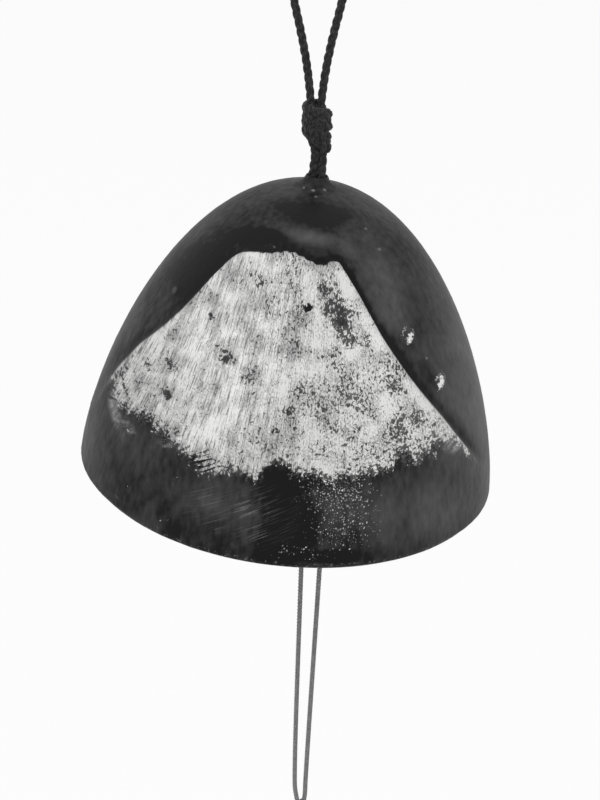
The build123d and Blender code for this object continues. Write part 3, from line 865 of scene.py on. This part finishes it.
class WINDBELL_OT_hanging_cord(bpy.types.Operator):
    """Lays the black cord: the loop, its top knot and the neck down to the stop knot"""

    bl_idname = "wind_bell.hanging_cord"
    bl_label = "Hanging cord"

    def execute(self, context):
        sizes = context.scene.wind_bell_sizes
        cotton = cotton_finish(BLACK_COTTON, context.scene.wind_bell_colours.cord, BLACK_FIBRE)
        thick = sizes.cord_diameter
        make = (sizes.cord_lay, CORD_STEP)

        # The loop up one side and down the other, with its ends run on into the knot
        half = sizes.cord_spacing / 2
        right_side = [(half, 0.0, z * MM) for z in LOOP_END_HEIGHTS]
        right_side += [(x * MM, 0.0, z * MM) for x, z in LOOP_SIDE]
        loop_line = route_line(right_side + [(-x, y, z) for x, y, z in reversed(right_side)])
        loop = cord_piece("hanging_loop_cord", [loop_line], thick, *make)
        dress(loop, cotton, "hanger", "black_cord", "hanging_loop")

        # The top knot: two strands through the middle, and a wrap of three round them
        knot_lines = []
        for side in (-1, 1):
            knot_lines.append([
                KNOT_CENTRE + NECK_DOWN * drop * MM + strand_offset(side, middle, spread)
                for drop, middle, spread in KNOT_CORE
            ])
        knot_lines += [wrap_line(*wrap) for wrap in KNOT_WRAPS]
        knot = cord_piece("top_knot_cord", knot_lines, KNOT_SWELL * thick, *make)
        dress(knot, cotton, "knot", "black_cord", "top_knot")

        # The neck, from inside the knot to inside the stop knot
        crown = STOP_CENTRE + BELL_UP * (sizes.dome_height + sizes.boss_height - sizes.stop_above_rim)
        neck_lines = []
        for side in (-1, 1):
            neck_lines.append(route_line([
                NECK_TOP + NECK_DOWN * NECK_BELOW_PIVOT * MM + strand_offset(side, *NECK_AT_KNOT),
                crown + strand_offset(side, *NECK_AT_COLLAR),
                STOP_CENTRE + BELL_UP * NECK_ABOVE_STOP * MM + strand_offset(side, *NECK_AT_STOP),
            ]))
        neck = cord_piece("neck_cord", neck_lines, NECK_SWELL * thick, *make)
        dress(neck, cotton, "neck", "black_cord", "neck_strands")

        stop_line = overhand_line(STOP_CENTRE, sizes.stop_radius, thick)
        stop = cord_piece("stop_knot_cord", [stop_line], thick, *make)
        dress(stop, cotton, "neck", "black_cord", "stop_knot")
        return {"FINISHED"}


class WINDBELL_OT_clapper_cord(bpy.types.Operator):
    """Lays the clapper's cord with its hitch above and its knot below"""

    bl_idname = "wind_bell.clapper_cord"
    bl_label = "Clapper cord"

    def execute(self, context):
        sizes = context.scene.wind_bell_sizes
        cotton = bpy.data.materials[BLACK_COTTON]
        thick = sizes.cord_diameter
        make = (sizes.cord_lay, CORD_STEP)
        top = HITCH_CENTRE - Vector((0.0, 0.0, CORD_BELOW_HITCH * MM))
        foot = CLAPPER_KNOT_CENTRE + Vector((0.0, 0.0, CORD_ABOVE_KNOT * MM))
        line = route_line([top.lerp(foot, share) for share in CORD_SHARES])
        drop = cord_piece("clapper_cord_run", [line], thick, *make)
        dress(drop, cotton, "clapper", "black_cord", "clapper_cord")

        hitch_line = overhand_line(HITCH_CENTRE, sizes.hitch_radius, sizes.hitch_diameter)
        hitch = cord_piece(
            "clapper_hitch_cord", [hitch_line], sizes.hitch_diameter, sizes.hitch_lay, HITCH_STEP
        )
        dress(hitch, cotton, "hitch", "black_cord", "clapper_hitch")
        knot_line = overhand_line(CLAPPER_KNOT_CENTRE, sizes.clapper_knot_radius, thick)
        knot = cord_piece("clapper_knot_cord", [knot_line], thick, *make)
        dress(knot, cotton, "under_knot", "black_cord", "clapper_knot")
        return {"FINISHED"}


class WINDBELL_OT_threads(bpy.types.Operator):
    """Lays the two grey threads, the knot that gathers them and the loop that holds the paper strip"""

    bl_idname = "wind_bell.threads"
    bl_label = "Threads"

    def execute(self, context):
        sizes = context.scene.wind_bell_sizes
        cotton = cotton_finish(GREY_COTTON, context.scene.wind_bell_colours.thread, GREY_FIBRE)
        thick = sizes.thread_diameter
        make = (sizes.thread_lay, THREAD_STEP)
        for name, side in (("thread_left", -1), ("thread_right", 1)):
            # From inside the clapper's knot, out to the run, straight down, and in to the strip's knot
            route = [CLAPPER_KNOT_CENTRE + strand_offset(side, *offset) for offset in THREAD_TOP]
            route += [STRIP_KNOT_CENTRE + strand_offset(side, *offset) for offset in THREAD_FOOT]
            line = route_line(route)
            piece = cord_piece(name + "_cord", [line], thick, *make)
            dress(piece, cotton, "threads", "grey_thread", name)
        knot_line = overhand_line(STRIP_KNOT_CENTRE, sizes.strip_knot_radius, thick)
        knot = cord_piece("strip_knot_thread", [knot_line], thick, *make)
        dress(knot, cotton, "gather_knot", "grey_thread", "strip_knot")

        # The loop through the strip's hole, round in its top and foot, with straight sides
        low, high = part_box("strip_loop")
        centre = (low + high) / 2
        round_radius = (high.y - low.y - thick) / 2
        straight = (high.z - low.z - thick) / 2 - round_radius
        loop_line = []
        for degrees in range(0, 361, 10):
            turn = math.radians(degrees)
            rise = math.cos(turn) * round_radius + math.copysign(straight, math.cos(turn))
            loop_line.append(centre + Vector((0.0, math.sin(turn) * round_radius, rise)))
        loop = cord_piece("strip_loop_thread", [loop_line], thick, *make)
        dress(loop, cotton, "strip", "grey_thread", "strip_loop")
        return {"FINISHED"}


def dome_section(rim_radius, height, spacing):
    """Points up the dome's outline from the rim to the crown, evenly spaced, as radius and height."""
    turns = np.radians(np.linspace(0.0, 90.0, 4001))
    radii = rim_radius * np.cos(turns).clip(0.0) ** (2 / DOME_ROUND_POWER)
    heights = height * np.sin(turns) ** (2 / DOME_RISE_POWER)
    run = np.concatenate([[0.0], np.cumsum(np.hypot(np.diff(radii), np.diff(heights)))])
    stops = np.linspace(0.0, run[-1], round(run[-1] / spacing) + 1)
    return np.stack([np.interp(stops, run, radii), np.interp(stops, run, heights)], 1)


def quarter_round(centre, radius, first, last, steps=4):
    """Points round a corner of a section, by their angles in degrees."""
    turns = [math.radians(first + (last - first) * step / steps) for step in range(steps + 1)]
    return [(centre[0] + radius * math.cos(turn), centre[1] + radius * math.sin(turn)) for turn in turns]


def bell_section(sizes):
    """The closed section of the bell's wall: up the outside, over the collar and down the inside."""
    rounding = sizes.rim_rounding
    lowest = 1.2 * rounding
    inner_radius = sizes.rim_radius - sizes.wall
    inner_height = sizes.dome_height - sizes.crown_wall
    hole = sizes.cord_hole_radius
    outside = dome_section(sizes.rim_radius, sizes.dome_height, OUTSIDE_SPACING * MM)
    inside = dome_section(inner_radius, inner_height, INSIDE_SPACING * MM)
    outer = [(r, z) for r, z in outside if z > lowest and r > sizes.boss_foot_radius]
    inner = [(r, z) for r, z in inside if z > lowest and r > hole + HOLE_EDGE_OUT * MM]
    collar = [(sizes.boss_foot_radius + out * MM, sizes.dome_height + up * MM) for out, up in COLLAR_FLARE]
    collar += [(hole, sizes.dome_height), (hole, inner_height + HOLE_EDGE_UP * MM)]
    inner_round = quarter_round((inner_radius + rounding, rounding), rounding, 180, 270)
    outer_round = quarter_round((sizes.rim_radius - rounding, rounding), rounding, 270, 360)
    return outer + collar + inner[::-1] + inner_round + outer_round


def spun_piece(name, section, first_angle, sectors):
    """A piece of revolution about Z: its section is extruded point by point, then spun round in sectors."""
    deselect_all()
    bpy.ops.mesh.primitive_plane_add(size=MM, location=(0.0, 0.0, 0.0))
    piece = bpy.context.object
    piece.name = name
    bpy.ops.object.mode_set(mode="EDIT")
    bpy.ops.mesh.select_mode(type="VERT")
    bpy.ops.mesh.select_all(action="SELECT")
    bpy.ops.mesh.merge(type="CENTER")
    out = Vector((math.cos(first_angle), math.sin(first_angle), 0.0))
    places = [out * radius + Vector((0.0, 0.0, height)) for radius, height in section]
    bpy.ops.transform.translate(value=places[0])
    for here, following in zip(places, places[1:] + places[:1]):
        bpy.ops.mesh.extrude_region_move(TRANSFORM_OT_translate={"value": following - here})
    bpy.ops.mesh.select_all(action="SELECT")
    for angle, steps in sectors:
        bpy.ops.mesh.spin(steps=steps, angle=angle, center=(0.0, 0.0, 0.0), axis=(0.0, 0.0, 1.0))
    close_mesh(SPIN_MERGE)
    return piece


def roughen(piece, swell_width, swell_height):
    """Gives the active piece the soft swells of a sand casting."""
    swells = bpy.data.textures.new(piece.name + " swells", "CLOUDS")
    swells.noise_scale = swell_width * MM
    apply_modifier(
        piece, "DISPLACE", texture=swells, texture_coords="LOCAL", strength=swell_height * MM, mid_level=0.5
    )
    bpy.ops.object.shade_smooth()


def vertex_places(mesh):
    """A mesh's points in millimetres, and their normals."""
    places = np.zeros(len(mesh.vertices) * 3, np.float32)
    mesh.vertices.foreach_get("co", places)
    normals = np.zeros(len(mesh.vertices) * 3, np.float32)
    mesh.vertex_normals.foreach_get("vector", normals)
    return places.reshape(-1, 3) / MM, normals.reshape(-1, 3)


def smooth_step(values, low, high):
    """Rises smoothly from 0 to 1 between two values."""
    share = np.clip((values - low) / (high - low), 0.0, 1.0)
    return share * share * (3 - 2 * share)


def depth_below_ridge(places, normals):
    """Distance inside the ridge's outline on the bell's outer front, in millimetres, negative outside it."""
    corner_x, corner_z = np.array(RIDGE).T
    x, y, z = places.T

    # The ridge's corners are rounded by averaging 5 points, and its summit wavers
    step = 0.25
    summit_middle = -2.0
    summit_reach = 7.0
    ridge_x = np.arange(corner_x[0], corner_x[-1], step)
    summit = np.exp(-((ridge_x - summit_middle) / summit_reach) ** 4)
    waver = summit * (0.10 * np.sin(4.3 * ridge_x + 1.0) + 0.07 * np.sin(9.1 * ridge_x))
    ridge_z = np.interp(ridge_x, corner_x, corner_z)
    ridge_z = np.convolve(np.pad(ridge_z, 2, mode="edge"), np.full(5, 0.2), mode="valid") + waver

    steepness = np.interp(x, corner_x, np.gradient(corner_z, corner_x))
    depth = (np.interp(x, ridge_x, ridge_z) - z) / np.hypot(1.0, steepness)
    depth = np.minimum(depth, np.minimum(x - corner_x[0], corner_x[-1] - x))
    outward = normals[:, 0] * x + normals[:, 1] * y + normals[:, 2] * np.maximum(z, 1.0) > 0
    front = (y < 0) & outward
    return np.where(front, depth, OFF_FRONT)


def subdivide_near(piece, near, cuts):
    """Subdivides the faces of the active piece whose points are all near something."""
    near_faces = [all(near[index] for index in face.vertices) for face in piece.data.polygons]
    bpy.ops.object.mode_set(mode="EDIT")
    bpy.ops.mesh.select_mode(type="FACE")
    bpy.ops.mesh.select_all(action="DESELECT")
    bpy.ops.object.mode_set(mode="OBJECT")
    piece.data.polygons.foreach_set("select", near_faces)
    bpy.ops.object.mode_set(mode="EDIT")
    bpy.ops.mesh.subdivide(number_cuts=cuts)
    bpy.ops.object.mode_set(mode="OBJECT")


def displace(piece, name, weights, strength, **settings):
    """Moves the active piece's points by a strength times their weights, along their normals or as set."""
    group = piece.vertex_groups.new(name=name)
    for index in np.flatnonzero(weights > 0.001):
        group.add([int(index)], float(weights[index]), "REPLACE")
    apply_modifier(piece, "DISPLACE", vertex_group=name, strength=strength, mid_level=0.0, **settings)
    piece.vertex_groups.clear()


def store_values(mesh, name, values):
    """A number on each point, which the finish reads."""
    attribute = mesh.attributes.new(name, "FLOAT", "POINT")
    attribute.data.foreach_set("value", values.astype(np.float32))


def shape_front(bell, sizes):
    """Shapes the mountain, its groove, the lumps and the collar, and notes what the finish reads."""
    # Finer faces along the ridge and on the lumps, so that they are crisp
    places, normals = vertex_places(bell.data)
    near = np.abs(depth_below_ridge(places, normals)) < 1.4
    for x, y, z, half_width, _, _ in LUMPS:
        near |= np.linalg.norm(places - np.array([x, y, z]), axis=1) < 2.2 * half_width + 0.4
    subdivide_near(bell, near, 2)

    # The mountain stands out as if a second dome leaned forward from its foot
    places, normals = vertex_places(bell.data)
    depth = depth_below_ridge(places, normals)
    above_foot = places[:, 2] - sizes.mountain_foot / MM
    behind_front = places[:, 1] + sizes.rim_radius / MM / 2
    lean = math.radians(MOUNTAIN_LEAN)
    stand_out = lean * (-normals[:, 1] * above_foot + normals[:, 2] * behind_front)
    raised = np.clip(stand_out, 0.0, None) * smooth_step(depth, 0.0, sizes.mountain_edge / MM)

    # The groove is deepest to the right and fades out towards the foot. Along it lies a wider band of painted
    # shade, which the finish reads
    to_right = smooth_step(places[:, 0], -14.0, 4.0)
    groove_share = (0.25 + 0.75 * to_right) * smooth_step(places[:, 2], 8.0, 16.0)
    groove = groove_share * np.exp(-((depth + 0.3) / 0.36) ** 2)
    shade_reach = np.interp(places[:, 2], [22.0, 42.0], [0.8, 0.45])
    groove_shade = groove_share * np.exp(-((depth + 0.65 * shade_reach) / shade_reach) ** 2)

    # Each lump is a soft mound, silvered on its top
    lumps = np.zeros(len(places))
    lump_tops = np.zeros(len(places))
    for x, y, z, half_width, height, silvered in LUMPS:
        reach = np.linalg.norm(places - np.array([x, y, z]), axis=1) / half_width
        lumps = np.maximum(lumps, height * np.exp(-reach ** 2))
        lump_tops = np.maximum(lump_tops, smooth_step(-reach, -1.0, -0.3) * silvered)

    snow_x, snow_z = np.array(SNOW_LINE).T
    above_dome = places[:, 2] - sizes.dome_height / MM
    store_values(bell.data, "below_ridge", depth)
    store_values(bell.data, "above_snow", places[:, 2] - np.interp(places[:, 0], snow_x, snow_z))
    store_values(bell.data, "in_groove", groove_shade)
    store_values(bell.data, "lump_tops", lump_tops)
    make_active(bell)
    displace(bell, "mountain", raised / raised.max(), raised.max() * MM)
    displace(bell, "groove", groove, -sizes.groove_depth)
    displace(bell, "lumps", lumps / lumps.max(), lumps.max() * MM)
    displace(bell, "collar", smooth_step(above_dome, 0.1, 1.5), COLLAR_ASIDE * MM, direction="X")


class WINDBELL_OT_bell(bpy.types.Operator):
    """Spins the bell's section, raises the mountain on its front and hangs it on its leaning axis"""

    bl_idname = "wind_bell.bell"
    bl_label = "Cast bell"

    def execute(self, context):
        sizes = context.scene.wind_bell_sizes
        rim_centre = STOP_CENTRE - BELL_UP * sizes.stop_above_rim
        front = math.radians(FRONT_ANGLE)
        sectors = [(front, FRONT_STEPS), (2 * math.pi - front, BACK_STEPS)]
        bell = spun_piece("cast_bell", bell_section(sizes), math.radians(FIRST_ANGLE), sectors)
        shape_front(bell, sizes)
        roughen(bell, *BELL_SWELLS)
        bell.rotation_euler = (0.0, BELL_TILT, 0.0)
        bell.location = rim_centre
        bpy.ops.object.transform_apply(location=True, rotation=True, scale=True)
        dress(bell, bell_finish(context.scene.wind_bell_colours, rim_centre), "bell", "bell_iron", "bell")
        return {"FINISHED"}


class WINDBELL_OT_clapper(bpy.types.Operator):
    """Spins the clapper's rounded disc and roughens it as a small casting"""

    bl_idname = "wind_bell.clapper"
    bl_label = "Clapper"

    def execute(self, context):
        sizes = context.scene.wind_bell_sizes
        low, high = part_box("clapper")
        half = sizes.clapper_thickness / 2
        rounding = sizes.clapper_rounding
        edge = sizes.clapper_radius - rounding
        hole = sizes.clapper_hole_radius
        hole_round = sizes.clapper_hole_rounding
        flat = [hole + (edge - hole) * share for share in (0.2, 0.4, 0.6, 0.8)]
        section = [(radius, -half) for radius in flat]
        section += quarter_round((edge, rounding - half), rounding, 270, 360, 6)
        section += quarter_round((edge, half - rounding), rounding, 0, 90, 6)
        section += [(radius, half) for radius in reversed(flat)]
        section += quarter_round((hole + hole_round, half - hole_round), hole_round, 90, 180)
        section += quarter_round((hole + hole_round, hole_round - half), hole_round, 180, 270)
        clapper = spun_piece("clapper_disc", section, 0.0, [(2 * math.pi, CLAPPER_STEPS)])
        make_active(clapper)
        roughen(clapper, *CLAPPER_SWELLS)
        clapper.location = (low + high) / 2
        bpy.ops.object.transform_apply(location=True, rotation=True, scale=True)
        dress(clapper, clapper_finish(context.scene.wind_bell_colours), "clapper", "clapper_iron", "clapper")
        return {"FINISHED"}


class WINDBELL_OT_paper_strip(bpy.types.Operator):
    """Cuts the paper strip, curls it across its width and pierces its hole"""

    bl_idname = "wind_bell.paper_strip"
    bl_label = "Paper strip"

    def execute(self, context):
        sizes = context.scene.wind_bell_sizes
        low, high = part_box("paper_strip")
        middle = (low.x + high.x) / 2
        upright = (math.radians(90.0), 0.0, 0.0)
        deselect_all()
        bpy.ops.mesh.primitive_grid_add(x_subdivisions=48, y_subdivisions=112, size=1.0)
        strip = bpy.context.object
        strip.name = "paper_sheet"
        strip.scale = (sizes.strip_width, sizes.strip_length, 1.0)
        strip.rotation_euler = upright
        strip.location = (middle, 0.0, high.z - sizes.strip_length / 2)
        bpy.ops.object.transform_apply(location=True, rotation=True, scale=True)

        # The sheet curls back at its sides, with a slow wave down its length that dies out at the hole
        curl = sizes.strip_curl_radius
        wave_height = 0.5 * MM
        for vertex in strip.data.vertices:
            across = vertex.co.x - middle
            down = (high.z - vertex.co.z) / sizes.strip_length
            wave = wave_height * down * math.sin(5.0 * down + 30.0 * across)
            vertex.co.y = curl - math.sqrt(curl ** 2 - across ** 2) + wave
        apply_modifier(strip, "SOLIDIFY", thickness=sizes.strip_thickness, offset=0.0)

        # The hole is cut by a punch longer than the paper is thick
        bpy.ops.mesh.primitive_cylinder_add(
            vertices=48, radius=sizes.strip_hole_radius, depth=10 * MM, rotation=upright,
            location=(middle, 0.0, high.z - sizes.strip_hole_inset),
        )
        punch = bpy.context.object
        make_active(strip)
        apply_modifier(strip, "BOOLEAN", object=punch, operation="DIFFERENCE", solver="EXACT")
        bpy.data.objects.remove(punch)
        bpy.ops.object.shade_smooth_by_angle(angle=math.radians(40.0))
        dress(strip, paper_finish(context.scene.wind_bell_colours), "strip", "paper", "paper_strip")
        return {"FINISHED"}


class WINDBELL_OT_stage(bpy.types.Operator):
    """Sets the camera at the photograph's angle, the floor, the soft lamps and the white surroundings"""

    bl_idname = "wind_bell.stage"
    bl_label = "Stage"

    def execute(self, context):
        scene = context.scene

        # The camera looks from its place to its aim, and is then rolled
        eye = Vector(CAMERA_PLACE) * MM
        back = (eye - Vector(CAMERA_AIM) * MM).normalized()
        level = Vector((0.0, 0.0, 1.0)).cross(back).normalized()
        rise = back.cross(level)
        right = level * math.cos(CAMERA_ROLL) + rise * math.sin(CAMERA_ROLL)
        up = rise * math.cos(CAMERA_ROLL) - level * math.sin(CAMERA_ROLL)
        deselect_all()
        bpy.ops.object.camera_add()
        camera = context.object
        camera.matrix_world = Matrix.Translation(eye) @ Matrix((right, up, back)).transposed().to_4x4()
        camera.data.sensor_fit = "VERTICAL"
        camera.data.sensor_height = SENSOR_HEIGHT
        camera.data.lens = FOCAL_PIXELS / IMAGE_HEIGHT * SENSOR_HEIGHT
        camera.data.clip_start = CAMERA_NEAR * MM
        scene.camera = camera

        # The floor lies a little below the strip's foot
        bpy.ops.mesh.primitive_grid_add(
            x_subdivisions=4, y_subdivisions=4, size=FLOOR_SIDE,
            location=(0.0, 0.0, CAD_BOX[0].z - FLOOR_DROP),
        )
        floor = context.object
        floor.name = "studio_floor"
        floor.data.materials.append(floor_finish(scene.wind_bell_colours))

        # A large soft lamp from the upper left, a weaker one from the right and one from above
        for name, place, side, watts in LAMPS:
            bpy.ops.object.light_add(type="AREA", location=place)
            lamp = context.object
            lamp.name = name
            lamp.rotation_euler = (Vector(place) - LAMP_AIM).to_track_quat("Z", "Y").to_euler()
            lamp.data.shape = "SQUARE"
            lamp.data.size = side
            lamp.data.energy = watts

        # White surroundings for the camera and for reflections, and a soft even light for the rest
        world = bpy.data.worlds.new("studio surroundings")
        world.use_nodes = True
        tree = world.node_tree
        tree.nodes.clear()
        seen = seen_share(tree)
        even = add_node(tree, "Background", {"Color": WHITE, "Strength": EVEN_LIGHT})
        white = add_node(tree, "Background", {"Color": WHITE, "Strength": SURROUNDINGS_WHITE})
        surface = add_node(tree, "MixShader", (seen, even, white))
        add_node(tree, "OutputWorld", {"Surface": surface})
        scene.world = world
        scene.view_settings.view_transform = "Standard"
        return {"FINISHED"}


class WINDBELL_PT_panel(bpy.types.Panel):
    """Lists the wind bell's pieces, sizes and colours"""

    bl_label = "Wind bell"
    bl_idname = "WINDBELL_PT_panel"
    bl_space_type = "VIEW_3D"
    bl_region_type = "UI"
    bl_category = "Wind bell"

    def draw(self, context):
        for operator in OPERATORS:
            self.layout.operator(operator.bl_idname)
        for group in (context.scene.wind_bell_sizes, context.scene.wind_bell_colours):
            box = self.layout.box()
            for name in group.bl_rna.properties.keys():
                if name not in {"rna_type", "name"}:
                    box.prop(group, name)


OPERATORS = (
    WINDBELL_OT_stage,
    WINDBELL_OT_hanging_cord,
    WINDBELL_OT_clapper_cord,
    WINDBELL_OT_threads,
    WINDBELL_OT_bell,
    WINDBELL_OT_clapper,
    WINDBELL_OT_paper_strip,
)
CLASSES = (WindBellSizes, WindBellColours, *OPERATORS, WINDBELL_PT_panel)


def register():
    """Adds the classes and the scene's sizes and colours."""
    for item in CLASSES:
        bpy.utils.register_class(item)
    bpy.types.Scene.wind_bell_sizes = PointerProperty(type=WindBellSizes)
    bpy.types.Scene.wind_bell_colours = PointerProperty(type=WindBellColours)


def unregister():
    """Takes the classes and the scene's sizes and colours away again."""
    del bpy.types.Scene.wind_bell_colours
    del bpy.types.Scene.wind_bell_sizes
    for item in reversed(CLASSES):
        bpy.utils.unregister_class(item)


def main():
    """Builds the stage and every piece in order."""
    register()
    bpy.ops.wind_bell.stage()
    bpy.ops.wind_bell.hanging_cord()
    bpy.ops.wind_bell.clapper_cord()
    bpy.ops.wind_bell.threads()
    bpy.ops.wind_bell.bell()
    bpy.ops.wind_bell.clapper()
    bpy.ops.wind_bell.paper_strip()


if __name__ == "__main__":
    main()
